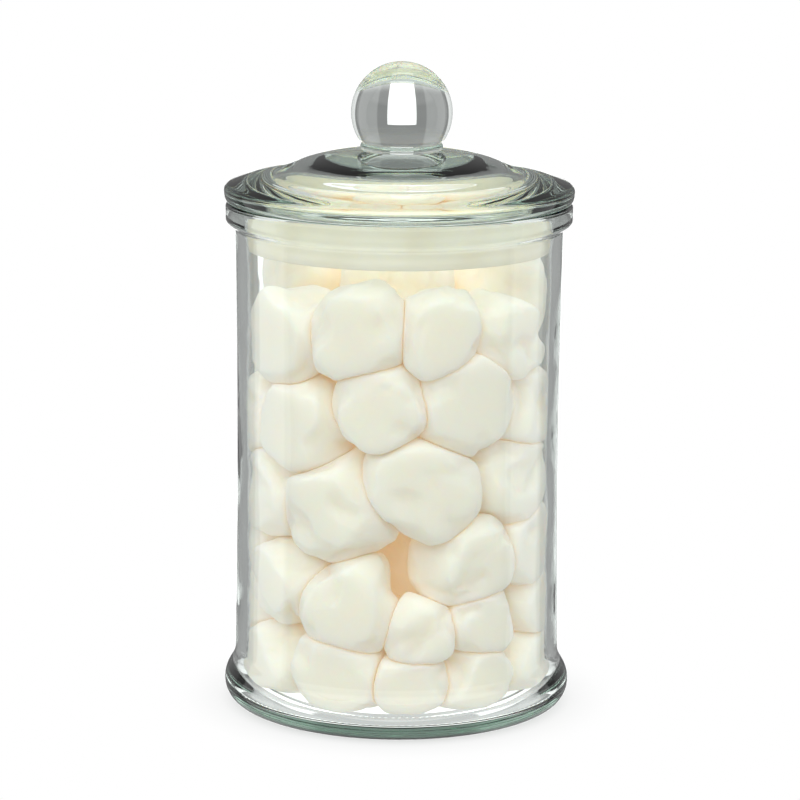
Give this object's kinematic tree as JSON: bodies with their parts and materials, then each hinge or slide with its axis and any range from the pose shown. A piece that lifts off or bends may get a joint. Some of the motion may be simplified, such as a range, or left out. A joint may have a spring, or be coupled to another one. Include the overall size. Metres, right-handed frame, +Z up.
{
  "type": "apothecary jar",
  "caption": "Cylindrical glass apothecary jar with flared foot, domed ball-knob lid, sealing ring and a filling of cotton balls.",
  "frame": {"origin": "centre of the flat bearing ring under the foot, on the surface the jar stands on", "axes": "+Z up along the jar's axis, -Y is the front; the glass is round, so +X and +Y are free"},
  "size_m": [0.112, 0.112, 0.2077],
  "materials": {
    "jar_glass": "polished soda-lime glass with a faint green edge",
    "seal": "translucent milky flexible plastic",
    "cotton": "matt fluffy cotton wool"
  },
  "bodies": {
    "jar": {"jar_body": "jar_glass", "cotton_ball_01": "cotton", "cotton_ball_02": "cotton", "cotton_ball_03": "cotton", "cotton_ball_04": "cotton", "cotton_ball_05": "cotton", "cotton_ball_06": "cotton", "cotton_ball_07": "cotton", "cotton_ball_08": "cotton", "cotton_ball_09": "cotton", "cotton_ball_10": "cotton", "cotton_ball_11": "cotton", "cotton_ball_12": "cotton", "cotton_ball_13": "cotton", "cotton_ball_14": "cotton", "cotton_ball_15": "cotton", "cotton_ball_16": "cotton", "cotton_ball_17": "cotton", "cotton_ball_18": "cotton", "cotton_ball_19": "cotton", "cotton_ball_20": "cotton", "cotton_ball_21": "cotton", "cotton_ball_22": "cotton", "cotton_ball_23": "cotton", "cotton_ball_24": "cotton", "cotton_ball_25": "cotton", "cotton_ball_26": "cotton", "cotton_ball_27": "cotton", "cotton_ball_28": "cotton", "cotton_ball_29": "cotton", "cotton_ball_30": "cotton", "cotton_ball_31": "cotton", "cotton_ball_32": "cotton", "cotton_ball_33": "cotton", "cotton_ball_34": "cotton", "cotton_ball_35": "cotton", "cotton_ball_36": "cotton", "cotton_ball_37": "cotton", "cotton_ball_38": "cotton", "cotton_ball_39": "cotton", "cotton_ball_40": "cotton", "cotton_ball_41": "cotton", "cotton_ball_42": "cotton", "cotton_ball_43": "cotton", "cotton_ball_44": "cotton", "cotton_ball_45": "cotton", "cotton_ball_46": "cotton", "cotton_ball_47": "cotton", "cotton_ball_48": "cotton", "cotton_ball_49": "cotton", "cotton_ball_50": "cotton", "cotton_ball_51": "cotton", "cotton_ball_52": "cotton"},
    "seal": {"seal_ring": "seal"},
    "lid": {"lid": "jar_glass", "lid_knob": "jar_glass"}
  },
  "joints": [
    {"name": "lid_lift", "type": "slide", "parent": "jar", "child": "seal", "axis": [0, 0, 1], "range_m": [0, 0.08]},
    {"name": "lid_turn", "type": "hinge", "parent": "seal", "child": "lid", "pos_m": [0, 0, 0.1634], "axis": [0, 0, 1], "continuous": true}
  ]
}
